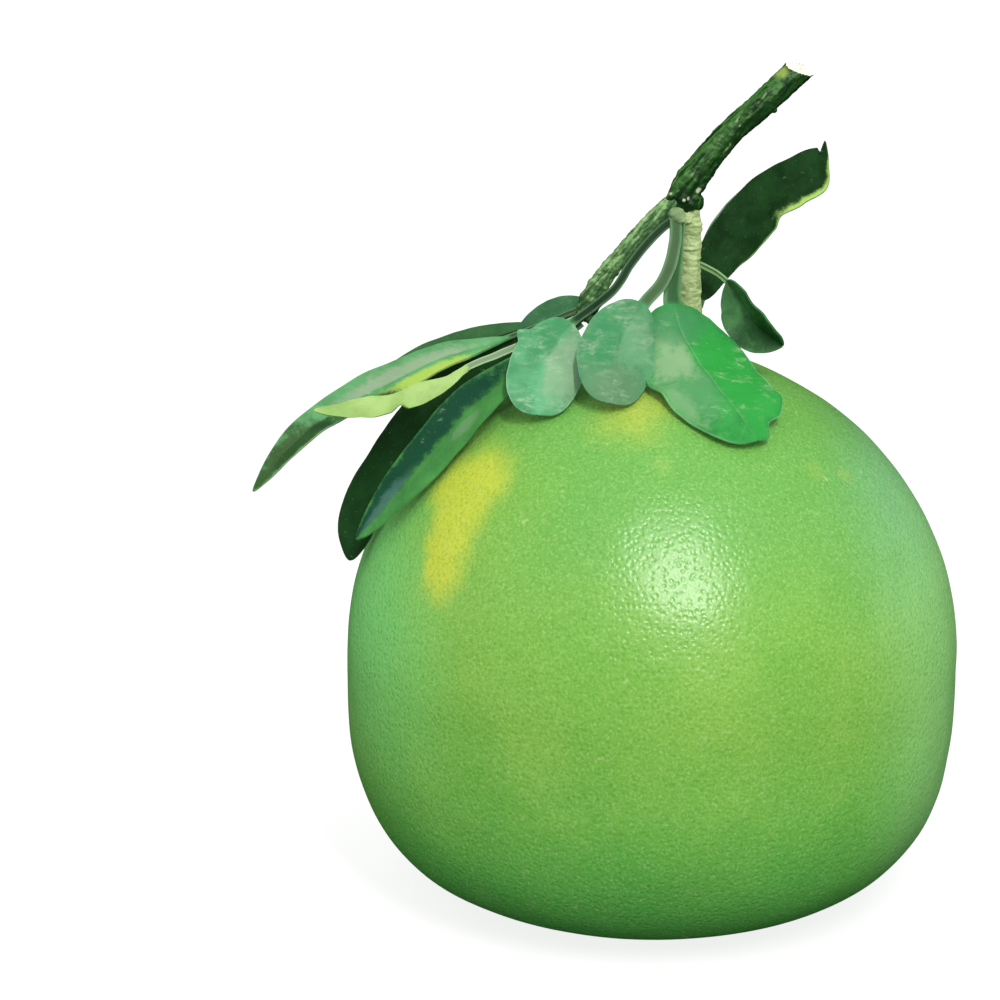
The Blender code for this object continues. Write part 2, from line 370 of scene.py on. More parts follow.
# The rounded top, drawn in ring by ring to the hollow that the stalk stands in.
pick(lambda at: abs(at.z - wall_top) < 0.01 * mm)
bpy.ops.mesh.delete(type="ONLY_FACE")
bpy.ops.mesh.select_all(action="DESELECT")
pick(lambda at: abs(at.z - wall_top) < 0.01 * mm and (at - calyx_middle).xy.length > mm)
for narrower, higher in ((0.93, 0.17), (0.86, 0.14), (0.75, 0.09), (0.62, 0.02), (0.5, -0.08)):
    bpy.ops.mesh.extrude_edges_move()
    bpy.ops.transform.resize(value=(narrower, narrower, 1), center_override=calyx_middle)
    bpy.ops.transform.translate(value=(0, 0, higher * button_height))
bpy.ops.mesh.edge_face_add()
bpy.ops.mesh.select_all(action="SELECT")
bpy.ops.mesh.delete_loose()
bpy.ops.mesh.normals_make_consistent(inside=False)
bpy.ops.object.mode_set(mode="OBJECT")
finish_modifier(calyx, "SUBSURF", levels=1, render_levels=1)
finish_modifier(calyx, "DISPLACE", texture=cloud("calyx_cork", 0.0012), strength=0.4 * mm)
bpy.ops.object.shade_smooth()

sepal = Finish("calyx_green", roughness=0.62, gloss=0.35)
place = sepal.place()
cork = sepal.noise(place, 900.0, 4.0, 0.65)
colour = sepal.mix(sepal.rise(cork, 0.35, 0.65), (0.130, 0.260, 0.065), (0.320, 0.430, 0.140))
sepal.show("Base Color", colour)
sepal.bump(cork, 0.25 * mm, 0.7)
calyx.data.materials.append(sepal.material)
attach(calyx, "root")
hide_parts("calyx")

# ---- The fruit stalk ------------------------------------------------------------------------
# The short woody stalk that carries the fruit: tan and corky, with raised rings where bud scales
# fell off, and rough knobs where it meets the calyx.

stem_sides = 24


def lay_along(piece, points, tilts=None):
    """Bend a piece that is modelled along X from 0 to 1 onto a smooth line through the points."""
    bpy.ops.object.select_all(action="DESELECT")
    bpy.ops.curve.primitive_bezier_curve_add(location=(0, 0, 0))
    line = bpy.context.object
    line.data.resolution_u = 32
    line.data.twist_mode = "Z_UP" if tilts else "MINIMUM"
    line.data.use_stretch = True
    line.data.use_deform_bounds = True
    knots = line.data.splines[0].bezier_points
    knots.add(len(points) - 2)
    for index, (knot, point) in enumerate(zip(knots, points)):
        knot.co = Vector(point) * mm
        knot.handle_left_type = "AUTO"
        knot.handle_right_type = "AUTO"
        knot.tilt = tilts[index] if tilts else 0
    finish_modifier(piece, "CURVE", object=line, deform_axis="POS_X")
    bpy.data.objects.remove(line)


def spread(values, share):
    """Read along a short list of values, the share running from 0 to 1."""
    place = share * (len(values) - 1)
    index = min(int(place), len(values) - 2)
    return values[index] + (values[index + 1] - values[index]) * (place - index)


def stem(name, points, radii, rings, ridges, cuts=60):
    """A stem with this radius along it, in mm, with raised rings at shares of its length.

    ridges holds the sides, counted round, that stand out, and by how much of the radius.
    """
    bpy.ops.object.select_all(action="DESELECT")
    bpy.ops.mesh.primitive_cylinder_add(
        vertices=stem_sides, radius=mm, depth=1, location=(0.5, 0, 0), rotation=(0, pi / 2, 0)
    )
    piece = bpy.context.object
    piece.name = name
    bpy.ops.object.transform_apply(location=True, rotation=True, scale=True)
    bpy.ops.object.mode_set(mode="EDIT")
    bpy.ops.mesh.select_all(action="DESELECT")
    shape = bmesh.from_edit_mesh(piece.data)
    for edge in shape.edges:
        edge.select = abs(edge.verts[0].co.x - edge.verts[1].co.x) > 0.5
    bmesh.update_edit_mesh(piece.data)
    bpy.ops.mesh.subdivide(number_cuts=cuts)
    for step in range(cuts + 2):
        share = step / (cuts + 1)
        radius = spread(radii, share)
        for middle, width, rise in rings:
            radius += rise * max(0, 1 - abs(share - middle) / width)
        pick(lambda at: abs(at.x - share) < 0.3 / cuts)
        bpy.ops.transform.resize(value=(1, radius, radius), center_override=(share, 0, 0))
    for number, rise in ridges.items():
        turn = 2 * pi * number / stem_sides
        pick(lambda at: cos(atan2(at.z, at.y) - turn) > cos(pi / stem_sides) and 0 < at.x < 1)
        bpy.ops.transform.resize(value=(1, 1 + rise, 1 + rise), center_override=(0, 0, 0))
    bpy.ops.object.mode_set(mode="OBJECT")
    lay_along(piece, points)
    return piece


def add_knobs(piece, knobs):
    """Grow knobs on a stem, each a place, three radii in mm, and run them into one surface."""
    knob_pieces = []
    for at, radii in knobs:
        bpy.ops.object.select_all(action="DESELECT")
        bpy.ops.mesh.primitive_ico_sphere_add(subdivisions=3, radius=mm, location=Vector(at) * mm)
        knob = bpy.context.object
        knob.scale = radii
        bpy.ops.object.transform_apply(location=True, rotation=True, scale=True)
        knob_pieces.append(knob)
    bpy.ops.object.select_all(action="DESELECT")
    for knob in knob_pieces:
        knob.select_set(True)
    piece.select_set(True)
    bpy.context.view_layer.objects.active = piece
    bpy.ops.object.join()
    finish_modifier(piece, "REMESH", mode="VOXEL", voxel_size=0.24 * mm)
    finish_modifier(piece, "SMOOTH", factor=0.5, iterations=3)


def roughen(piece, name, size, depth):
    """Give a stem its uneven bark, in relief, and note how far up each point of it looks."""
    finish_modifier(
        piece, "DISPLACE", texture=cloud(name, size, 3), strength=depth, texture_coords="LOCAL"
    )
    bpy.ops.object.shade_smooth()
    upward = piece.data.attributes.new("upward", "FLOAT", "POINT")
    for point in piece.data.vertices:
        upward.data[point.index].value = point.normal.z


def bark(name, dark, light, speck_colour, lean, stretch, roughness, speckle, underside_shade, scars=()):
    """Bark whose grain follows the stem at this lean, with pale specks, scars and painted shade on
    its underside.
    """
    made = Finish(name, roughness=roughness, gloss=0.2)
    place = made.place()
    along = made.node(
        "ShaderNodeMapping", {"vector_type": "TEXTURE"},
        {"Vector": place, "Rotation": (0, -radians(lean), 0), "Scale": stretch},
    )
    grain = made.noise(along, 1100.0, 4.0, 0.6)
    blotch = made.noise(place, 300.0, 4.0, 0.65)
    colour = made.mix(made.rise(grain, 0.40, 0.64), dark, light)
    colour = made.mix(made.rise(blotch, 0.50, 0.7) * 0.3, colour, light)
    colour = made.mix(made.rise(made.noise(along, 420.0, 2.0), 0.50, 0.60) * 0.45, colour, light)
    # Painted shade: the side that faces the ground is painted darker.
    upward = made.node("ShaderNodeAttribute", {"attribute_name": "upward"}, {}, "Fac")
    colour = made.mix((1 - made.rise(upward, -0.3, 0.7)) * underside_shade, colour, dark)
    dots = made.node("ShaderNodeTexVoronoi", {}, {"Vector": along, "Scale": 620.0})
    chosen = made.rise(made.noise(place, 420.0, 1.0), 0.50, 0.62)
    fleck = (1 - made.rise(dots, 0.10, 0.30)) * chosen
    colour = made.mix(fleck * speckle, colour, speck_colour)
    for centre, size, scar_colour in scars:
        scar = made.spot(place, Vector(centre) * mm, 0.4 * size * mm, size * mm)
        colour = made.mix(scar * 0.85, colour, scar_colour)
    made.show("Base Color", colour)
    made.show("Roughness", roughness - fleck * 0.15)
    made.bump(grain * 0.8 + blotch * 0.5 + fleck * 0.5, 0.35 * mm, 0.8)
    return made


stalk_foot = (calyx_high.z - 0.6 * mm) / mm
stalk = stem(
    "stalk",
    [(9.5, 0, stalk_foot), (9.2, 0, 152), (8.8, 0, 166), (8.9, 0, 175), (8.4, -0.1, 181.6)],
    [3.4, 3.1, 2.9, 2.8, 2.6, 2.6, 2.7, 2.6],
    [(0.30, 0.02, 0.12), (0.42, 0.02, 0.16), (0.50, 0.015, 0.1), (0.58, 0.02, 0.22),
     (0.66, 0.018, 0.35), (0.74, 0.02, 0.3), (0.85, 0.03, 0.3)],
    {2: 0.06, 9: 0.05, 15: 0.07, 20: 0.04},
)
add_knobs(stalk, [
    ((7.6, -2.0, 148.0), (1.3, 1.2, 1.9)), ((11.6, -1.4, 147.2), (1.2, 1.2, 1.5)),
    ((9.0, -2.4, 146.4), (1.5, 1.1, 1.2)), ((6.9, 0.6, 147.5), (1.1, 1.1, 1.3)),
    ((11.0, 1.8, 148.0), (1.2, 1.2, 1.6)), ((5.0, -3.6, 180.0), (2.3, 2.0, 2.2)),
    ((7.4, -2.2, 179.2), (2.0, 1.8, 2.0)), ((8.9, -0.6, 177.2), (2.9, 2.6, 1.3)),
    ((4.2, -4.8, 180.6), (1.1, 1.0, 1.0)), ((6.2, -4.8, 179.2), (1.0, 0.9, 1.2)),
    ((8.8, -0.2, 171.2), (3.0, 2.9, 0.9)),
])
roughen(stalk, "stalk_cork", 0.0014, 0.7 * mm)
cork_skin = bark(
    "stalk_cork", (0.290, 0.390, 0.150), (0.520, 0.640, 0.310), (0.700, 0.720, 0.460),
    90, (1, 3, 3), roughness=0.75, speckle=0.35, underside_shade=0.0,
    scars=(((4.6, -4.4, 180.2), 3.6, (0.150, 0.260, 0.120)),),
)
stalk.data.materials.append(cork_skin.material)
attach(stalk, "root")
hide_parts("fruit_stalk")

# ---- The twigs ------------------------------------------------------------------------------
# The main twig is dark green young wood, ridged along its length and flecked with pale cork,
# with a knobby node at its foot and a slanting secateur cut at its top. The side twig leaves
# the node to the left: flatter, paler on top, with a bud stub and a rough end.

twig = stem(
    "twig",
    [(5.2, -0.8, 180.6), (7.4, 0, 185.8), (11, 1, 191), (15, 2, 196), (19.4, 3, 200.8),
     (25, 4, 205.5), (30, 5, 210), (38.6, 7.7, 217.6)],
    [3.2, 3.9, 3.7, 3.4, 3.2, 3.3, 3.4, 3.4, 3.5],
    [(0.17, 0.03, 0.35), (0.42, 0.02, 0.15)],
    {1: 0.07, 4: 0.05, 8: 0.08, 11: 0.05, 14: 0.07, 18: 0.06, 21: 0.05},
    cuts=80,
)
add_knobs(twig, [
    ((4.4, -2.2, 183.6), (1.6, 1.3, 1.2)), ((9.6, -2.6, 183.9), (1.3, 1.2, 1.1)),
    ((6.6, -3.6, 184.2), (1.5, 1.1, 1.1)), ((8.8, -2.8, 182.6), (1.7, 1.3, 1.6)),
    ((3.6, -2.6, 184.6), (1.2, 1.2, 1.2)), ((8.6, -0.6, 181.8), (2.4, 2.2, 2.0)),
    ((10.6, 0.4, 182.6), (1.6, 1.6, 2.2)), ((20.4, 1.4, 203.4), (0.8, 0.9, 0.6)),
    ((29.6, 3.2, 205.6), (0.8, 0.9, 0.6)),
])
roughen(twig, "twig_bark", 0.0016, 0.55 * mm)
# The secateur cut: a clean slanting face with a low lip of bark round it.
cut_at = Vector((36.5, 7, 215.5)) * mm
cut_facing = Vector((0.35, -0.2, 0.9)).normalized()
bpy.ops.object.mode_set(mode="EDIT")
bpy.ops.mesh.select_all(action="SELECT")
bpy.ops.mesh.bisect(plane_co=cut_at, plane_no=cut_facing, use_fill=True, clear_outer=True)
pick(lambda at: abs((at - cut_at).dot(cut_facing)) < 0.002 * mm)
bpy.ops.mesh.inset(thickness=0.35 * mm)
bpy.ops.transform.translate(value=cut_facing * 0.12 * mm)
bpy.ops.object.mode_set(mode="OBJECT")
pale_scar = (0.720, 0.760, 0.560)
# Painted shade darkens the twig's side that faces the ground.
young_wood = bark(
    "twig_bark", (0.005, 0.032, 0.005), (0.066, 0.215, 0.042), (0.330, 0.560, 0.220),
    50, (14, 1, 1), roughness=0.42, speckle=0.65, underside_shade=0.85,
    scars=(
        # The first mark darkens the node; the others are pale scars.
        ((6.6, -4.0, 183.4), 4.4, (0.004, 0.024, 0.005)),
        ((3.4, -3.8, 186.0), 1.0, pale_scar), ((4.8, -4.4, 185.4), 0.8, pale_scar),
        ((10.6, -3.0, 186.2), 1.0, pale_scar), ((8.2, -4.2, 184.4), 0.8, pale_scar),
        ((6.8, -4.9, 184.0), 0.7, pale_scar), ((31.6, 4.6, 214.6), 2.6, (0.300, 0.420, 0.080)),
    ),
)
twig.data.materials.append(young_wood.material)
cut_wood = Finish("cut_wood", roughness=0.7, gloss=0.3)
place = cut_wood.place()
centred = cut_wood.node(
    "ShaderNodeVectorMath", {"operation": "DISTANCE"}, {0: place, 1: cut_at}, "Value"
)
growth = cut_wood.noise(place, 500.0, 3.0)
ring_phase = centred * 9000.0 + growth * 3.0
ring_line = cut_wood.rise(ring_phase.work_out("SINE", ring_phase), -1.0, 1.0)
pith = 1 - cut_wood.rise(centred, 0.3 * mm, 0.8 * mm)
colour = cut_wood.mix(ring_line * 0.3, (0.93, 0.90, 0.78), (0.82, 0.76, 0.52))
colour = cut_wood.mix(pith, colour, (0.70, 0.62, 0.36))
cut_wood.show("Base Color", colour)
cut_wood.bump(growth, 0.2 * mm, 0.6)
twig.data.materials.append(cut_wood.material)
# The second material goes on the faces that lie in the cut.
for face in twig.data.polygons:
    on_cut = abs((face.center - cut_at).dot(cut_facing)) < 0.3 * mm
    face.material_index = int(on_cut and face.normal.dot(cut_facing) > 0.97)
bpy.ops.object.shade_smooth_by_angle(angle=radians(40))
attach(twig, "root")
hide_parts("main_twig")

side_twig = stem(
    "side_shoot",
    [(6.0, -0.8, 183.6), (3.7, -1.4, 182.2), (-2.2, -3.2, 177), (-8.8, -6, 170.2),
     (-12.8, -8, 165.8), (-16, -9, 160.5), (-18.6, -9.4, 154.2)],
    [2.4, 2.5, 2.5, 2.4, 2.3, 2.3, 2.6, 2.9, 2.2],
    [(0.62, 0.02, 0.3), (0.76, 0.02, 0.35), (0.86, 0.02, 0.4)],
    {1: 0.08, 5: 0.1, 9: 0.06, 13: 0.1, 17: 0.06, 21: 0.09},
)
add_knobs(side_twig, [
    ((-12.6, -9.3, 167.2), (1.5, 1.2, 1.2)), ((-14.2, -9.6, 166.2), (0.9, 0.9, 0.8)),
    ((-15.9, -10.6, 158.2), (1.7, 1.4, 1.4)), ((-18.6, -10.0, 157.4), (1.4, 1.3, 1.5)),
    ((-13.6, -10.2, 160.8), (1.1, 1.1, 1.3)), ((-19.3, -9.2, 154.8), (1.3, 1.3, 1.2)),
    ((-16.9, -10.9, 154.9), (1.2, 1.1, 1.3)),
])
roughen(side_twig, "side_bark", 0.0013, 0.6 * mm)
# Painted shade darkens the shoot's side that faces the ground.
shoot_skin = bark(
    "shoot_bark", (0.024, 0.085, 0.022), (0.250, 0.450, 0.170), (0.500, 0.600, 0.340),
    50, (14, 1, 1), roughness=0.55, speckle=0.6, underside_shade=0.8,
)
side_twig.data.materials.append(shoot_skin.material)
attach(side_twig, "root")
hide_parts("side_twig")

# ---- The three broad leaves on the front ----------------------------------------------------
# Thick, waxy leaves with blunt round tips that lie on the fruit, hung from flat pale petioles.
# The right one is clean on its right half and dusty on its left; the two others are dusty all
# over. Each is a blade with a sunken midrib, paler and duller underneath.

petiole_columns = 16
blade_columns = 44
half_rows = (0.0, 0.05, 0.14, 0.34, 0.56, 0.78, 0.93, 1.0)
leaf_thickness = 0.5 * mm
midrib_groove = 0.025
aside = 2


def piece_points(piece):
    """The places of a piece's points while it is in edit mode."""
    return [point.co.copy() for point in bmesh.from_edit_mesh(piece.data).verts]


def leaf(node, points, half_width, blade_from, face, tip_face=None, skew=1.0, bluntness=0.6,
         fold=12.0, petiole=0.8, wing=0.0, wobble=4.0, waves=2.0, crinkle=0.5, ripple=0.015,
         pulls=()):
    """A leaf laid along its midrib: a petiole, then a blade folded a little on the midrib.

    face is where the upper side looks, skew moves the widest place towards the tip, bluntness
    below 0.5 gives a rounder end than an ellipse, wing widens the petiole towards the blade, and
    wobble rocks the blade from side to side, this many degrees and this many times. ripple is
    the margin's unevenness, and pulls are last touches to it: (place, move, reach), all in mm.
    """
    columns = petiole_columns + blade_columns
    rows = 2 * len(half_rows) - 2
    bpy.ops.object.select_all(action="DESELECT")
    bpy.ops.mesh.primitive_grid_add(
        x_subdivisions=columns, y_subdivisions=rows, size=1, location=(0.5, 0, 0)
    )
    piece = bpy.context.object
    piece.name = node + "_blade"
    bpy.ops.object.transform_apply(location=True, rotation=True, scale=True)
    bpy.ops.object.mode_set(mode="EDIT")
    # The cross-section: rows close together at the midrib and at the margins, folded up. A row
    # that is done stands aside till all are, so that it isn't picked again.
    for row in range(-len(half_rows) + 1, len(half_rows)):
        was = row / rows
        share = half_rows[abs(row)]
        half = 1 if row > 0 else -1
        lift = sin(radians(fold)) * share ** 1.25 - (midrib_groove if row == 0 else 0)
        out = share * cos(radians(fold)) * half
        pick(lambda at: abs(at.y - was) < 0.2 / rows and abs(at.z) < 1e-6)
        bpy.ops.transform.translate(value=(0, out - was + aside * half, lift))
    pick(lambda at: at.y > 1)
    bpy.ops.transform.translate(value=(0, -aside, 0))
    pick(lambda at: at.y < -1)
    bpy.ops.transform.translate(value=(0, aside, 0))
    # The outline: each column gets its place along the leaf and its width, and stands aside too.
    for column in range(columns + 1):
        if column <= petiole_columns:
            share = blade_from * column / petiole_columns
            blade = 0.0
        else:
            blade = (1 - cos(pi * (column - petiole_columns) / blade_columns)) / 2
            share = blade_from + (1 - blade_from) * blade
        width = half_width * max(0.0, sin(pi * blade ** skew)) ** bluntness
        if blade < 0.5:
            width = max(width, petiole + wing * min(1, column / petiole_columns) ** 1.5)
        width *= 1 + ripple * (sin(19 * blade + half_width) + 0.7 * sin(43 * blade))
        width = max(width, 0.05) * mm
        angle = radians(wobble) * sin(2 * pi * waves * blade + half_width) * min(1, 5 * blade)
        pick(lambda at: abs(at.x - column / columns) < 0.2 / columns)
        bpy.ops.transform.resize(value=(1, width, width), center_override=(0, 0, 0))
        bpy.ops.transform.rotate(value=angle, orient_axis="X", center_override=(0, 0, 0))
        bpy.ops.transform.translate(value=(share - column / columns + aside, 0, 0))
    bpy.ops.mesh.select_all(action="SELECT")
    bpy.ops.transform.translate(value=(-aside, 0, 0))
    bpy.ops.object.mode_set(mode="OBJECT")
    finish_modifier(piece, "SUBSURF", levels=1, render_levels=1)
    # Along the midrib, turned at each point so that the upper side looks the right way.
    knots = [Vector(point) for point in points]
    tilts = []
    for index in range(len(knots)):
        ahead = knots[min(index + 1, len(knots) - 1)]
        behind = knots[max(index - 1, 0)]
        way = (ahead - behind).normalized()
        look = Vector(face).normalized().lerp(
            Vector(tip_face or face).normalized(), index / (len(knots) - 1)
        )
        plain_up = (Vector((0, 0, 1)) - way * way.z).normalized()
        tilts.append(atan2(way.cross(plain_up).dot(look), plain_up.dot(look)))
    lay_along(piece, points, tilts)
    if pulls:
        bpy.ops.object.mode_set(mode="EDIT")
        for at_place, move, reach in pulls:
            wanted = Vector(at_place) * mm
            nearest = min(piece_points(piece), key=lambda at: (at - wanted).length)
            pick(lambda at: (at - nearest).length < 1e-7)
            soft_pull(Vector(move) * mm, reach * mm)
        bpy.ops.object.mode_set(mode="OBJECT")
    finish_modifier(
        piece, "DISPLACE", texture=cloud(node + "_crinkle", 0.006, 1), strength=crinkle * mm,
        texture_coords="LOCAL",
    )
    finish_modifier(
        piece, "SOLIDIFY", thickness=leaf_thickness, offset=-0.3, material_offset=1,
        use_even_offset=False,
    )
    bpy.ops.object.shade_smooth_by_angle(angle=radians(50))
    return piece


def leaf_finish(name, green, shade, vein, petiole_green, dust=(0.5, 0.6, 0.45), dustiness=0.0,
                patches=(), roughness=0.45, veins=8.0, rim=None, vein_strength=0.05,
                midrib_strength=0.3, gloss=0.3):
    """A leaf's upper side. patches are (along, across, length, width, colour, strength).

    Along runs from 0 at the blade's foot to 1 at its tip; across from -1 to 1 over the midrib.
    """
    made = Finish(name, roughness=roughness, gloss=gloss)
    place = made.place()
    uv = made.node("ShaderNodeTexCoord", {}, {}, "UV")
    run = made.part_of(uv, "X")
    foot = petiole_columns / (petiole_columns + blade_columns)
    turn = (run.work_out("MAXIMUM", run, foot) - foot) * (pi / (1 - foot))
    along = (1 - turn.work_out("COSINE", turn)) * 0.5
    across = made.part_of(uv, "Y") * 2.0 - 1.0
    out = abs(across)
    blotch = made.noise(place, 160.0, 4.0, 0.6)
    fibre = made.noise(place, 900.0, 3.0, 0.6)
    grit = made.noise(place, 480.0, 6.0, 0.75)
    colour = made.mix(made.rise(blotch, 0.32, 0.68), shade, green)
    phase = (along * veins - out * 1.1) * (2 * pi)
    side_vein = made.rise(phase.work_out("SINE", phase + blotch * 2.0), 0.90, 1.0)
    side_vein = side_vein * made.rise(out, 0.03, 0.12) * (1 - made.rise(out, 0.75, 0.98))
    colour = made.mix(side_vein * vein_strength, colour, vein)
    for at_along, at_across, length, width, patch_colour, strength in patches:
        away_along = (along - at_along) / length
        away_across = (across - at_across) / width
        away = (away_along ** 2.0 + away_across ** 2.0) ** 0.5 + blotch * 0.9 + grit * 1.4 - 1.15
        colour = made.mix((1 - made.rise(away, 0.45, 1.15)) * strength, colour, patch_colour)
    # Dust and worn wax: a broken film of short streaks, and a scatter of pale points.
    streaks = made.node(
        "ShaderNodeMapping", {"vector_type": "TEXTURE"}, {"Vector": place, "Scale": (2.2, 1, 0.8)}
    )
    film = made.rise(made.noise(streaks, 520.0, 6.0, 0.75), 0.56 - 0.16 * dustiness, 0.66)
    smear = made.rise(made.noise(place, 130.0, 3.0, 0.6), 0.60 - 0.35 * dustiness, 0.70)
    colour = made.mix(film * smear * (0.35 + 0.65 * dustiness), colour, dust)
    points = made.rise(made.noise(place, 1300.0, 2.0, 0.7), 0.66, 0.74)
    colour = made.mix(points * (0.12 + 0.45 * dustiness), colour, dust)
    midrib = (1 - made.rise(out, 0.015, 0.060)) * (1 - 0.5 * along)
    colour = made.mix(midrib * midrib_strength, colour, vein)
    if rim is not None:
        worn = made.rise(out + blotch * 0.06, 0.97, 1.02) * made.rise(along, 0.25, 0.6)
        colour = made.mix(worn * 0.5, colour, rim)
    # The petiole: a darker groove along its middle, and two paler ridges.
    ridge = made.rise(out, 0.45, 0.80) * (0.4 + grit * 0.8)
    dark_groove = tuple(0.55 * part for part in petiole_green)
    pale_ridge = tuple(0.75 * part + 0.25 * whiter for part, whiter in zip(petiole_green, vein))
    petiole_colour = made.mix(ridge, dark_groove, pale_ridge)
    colour = made.mix(1 - made.rise(run, foot * 0.94, foot * 1.06), colour, petiole_colour)
    made.show("Base Color", colour)
    made.show("Roughness", roughness + blotch * 0.12)
    relief = fibre * 0.3 + grit * 0.4 + blotch * 0.5 - side_vein * 0.15 - midrib * 0.15
    made.bump(relief, 0.22 * mm, 0.7)
    return made.material


def under_finish(name, green, vein):
    """A leaf's underside: paler and duller, with the midrib and veins standing out."""
    made = Finish(name, roughness=0.6, gloss=0.15)
    place = made.place()
    uv = made.node("ShaderNodeTexCoord", {}, {}, "UV")
    out = abs(made.part_of(uv, "Y") * 2.0 - 1.0)
    blotch = made.noise(place, 200.0, 4.0, 0.6)
    phase = (made.part_of(uv, "X") * 14.0 - out * 1.3) * (2 * pi)
    side_vein = made.rise(phase.work_out("SINE", phase), 0.8, 1.0)
    midrib = 1 - made.rise(out, 0.03, 0.1)
    colour = made.mix(blotch * 0.35, green, vein)
    colour = made.mix(midrib * 0.8 + side_vein * 0.2, colour, vein)
    made.show("Base Color", colour)
    made.bump(midrib * 0.8 + side_vein * 0.4 + blotch * 0.3, 0.2 * mm, 0.7)
    return made.material


def dress(piece, node, upper, under):
    """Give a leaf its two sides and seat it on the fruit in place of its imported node."""
    piece.data.materials.append(upper)
    piece.data.materials.append(under)
    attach(piece, "root")
    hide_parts(node)


fresh_under = under_finish("fresh_underside", (0.190, 0.380, 0.130), (0.420, 0.560, 0.250))
dark_under = under_finish("dark_underside", (0.055, 0.130, 0.045), (0.160, 0.260, 0.110))

right_leaf = leaf(
    "leaf_front_right",
    [(6.4, -3.2, 180.2), (5.2, -7, 170), (4.0, -10, 161.5), (5.2, -13.2, 154.6),
     (9, -18.6, 148), (13.8, -27, 142.4), (18.8, -35, 137.2), (23.4, -42.6, 131.2)],
    14.6, 0.33, (0.25, -0.6, 0.75), skew=1.0, bluntness=0.36, fold=-6, petiole=1.0, wing=1.6,
    wobble=3, crinkle=0.8, ripple=0.006,
    pulls=(
        ((-0.4, -28, 144), (-1.2, 0, -1.4), 6), ((33.2, -39, 134.8), (-2.2, 0, 1.6), 5.5),
        ((30, -33, 144.6), (1.3, 0, 0.8), 6), ((-2, -24, 149), (0.5, 2.0, 0.4), 8),
    ),
)
dress(right_leaf, "leaf_front_right", leaf_finish(
    "broad_right_upper", (0.034, 0.330, 0.060), (0.022, 0.235, 0.046), (0.300, 0.560, 0.240),
    (0.060, 0.210, 0.065), dust=(0.440, 0.600, 0.350), dustiness=0.35,
    patches=(
        (0.60, 0.50, 0.55, 0.50, (0.026, 0.345, 0.050), 0.85),
        (0.45, -0.50, 0.40, 0.50, (0.105, 0.320, 0.130), 0.7),
        (0.30, -0.48, 0.20, 0.40, (0.360, 0.500, 0.280), 0.5),
        (0.62, -0.80, 0.22, 0.20, (0.260, 0.440, 0.210), 0.4),
        (0.10, 0.00, 0.16, 0.90, (0.055, 0.260, 0.095), 0.8),
    ),
    rim=(0.300, 0.600, 0.330), veins=7, gloss=0.2,
), fresh_under)

middle_leaf = leaf(
    "leaf_front_middle",
    [(4.8, -3.6, 180.2), (4.6, -7.4, 174), (1.6, -12, 165.2), (-2.8, -15.6, 160.6),
     (-7.4, -19.4, 155.4), (-10.6, -25.4, 148.2), (-12.4, -34.2, 138.6)],
    9.8, 0.47, (0.2, -0.8, 0.55), skew=1.15, bluntness=0.36, fold=-5, petiole=1.6, wobble=3,
    crinkle=0.8, ripple=0.008,
)
dress(middle_leaf, "leaf_front_middle", leaf_finish(
    "round_middle_upper", (0.088, 0.300, 0.130), (0.052, 0.220, 0.090), (0.200, 0.400, 0.220),
    (0.110, 0.230, 0.095), dust=(0.290, 0.430, 0.270), dustiness=0.75,
    patches=(
        (0.85, 0.0, 0.28, 1.1, (0.125, 0.250, 0.125), 0.7),
        (0.35, 0.45, 0.30, 0.50, (0.150, 0.350, 0.180), 0.6),
        (0.45, -0.5, 0.30, 0.45, (0.038, 0.250, 0.095), 0.75),
    ),
    rim=(0.130, 0.380, 0.200), veins=6, roughness=0.55, midrib_strength=0.08, gloss=0.15,
), fresh_under)

left_leaf = leaf(
    "leaf_front_left",
    [(5.0, -3.6, 179.4), (1.0, -5, 176.6), (-6.4, -8.8, 168.8), (-10.6, -12, 163),
     (-16.2, -13.4, 158.4), (-21.0, -15.4, 155.2), (-25.0, -18.6, 151), (-28.2, -23.2, 144.4),
     (-30.2, -30.4, 134.8)],
    9.6, 0.59, (0.15, -0.8, 0.55), tip_face=(-0.15, -0.8, 0.55), skew=1.1, bluntness=0.36,
    fold=-5, petiole=1.1, wobble=3, crinkle=0.8, ripple=0.008,
    pulls=(((-35, -15, 153), (-1.5, 0, 1.2), 2.5),),
)
dress(left_leaf, "leaf_front_left", leaf_finish(
    "round_left_upper", (0.120, 0.390, 0.185), (0.065, 0.280, 0.115), (0.300, 0.520, 0.350),
    (0.016, 0.070, 0.018), dust=(0.380, 0.560, 0.380), dustiness=0.65,
    patches=(
        (0.72, 0.1, 0.35, 0.60, (0.140, 0.460, 0.220), 0.7),
        (0.45, 0.50, 0.45, 0.60, (0.290, 0.420, 0.260), 0.6),
        (0.14, -0.4, 0.26, 0.80, (0.038, 0.240, 0.085), 0.75),
    ),
    rim=(0.420, 0.680, 0.480), veins=6, roughness=0.52, midrib_strength=0.08, gloss=0.15,
), fresh_under)

# ---- The leaves on the left -----------------------------------------------------------------
# Narrower leaves that fan out from the side shoot's end: a small dark one behind the round
# leaves, a long folded one, one turned over to its pale underside, a narrow one behind them,
# and two that hang down over the fruit's shoulder.

small_leaf = leaf(
    "leaf_small_dark",
    [(-15, -6, 159), (-20, -3.6, 157.4), (-27, -3, 154.6), (-35, -2.5, 149.5)],
    3.4, 0.12, (-0.1, -0.7, 0.7), fold=15,
)
dress(small_leaf, "leaf_small_dark", leaf_finish(
    "small_dark_upper", (0.045, 0.200, 0.075), (0.030, 0.140, 0.050), (0.160, 0.360, 0.180),
    (0.080, 0.200, 0.070), dustiness=0.2, veins=5,
), dark_under)

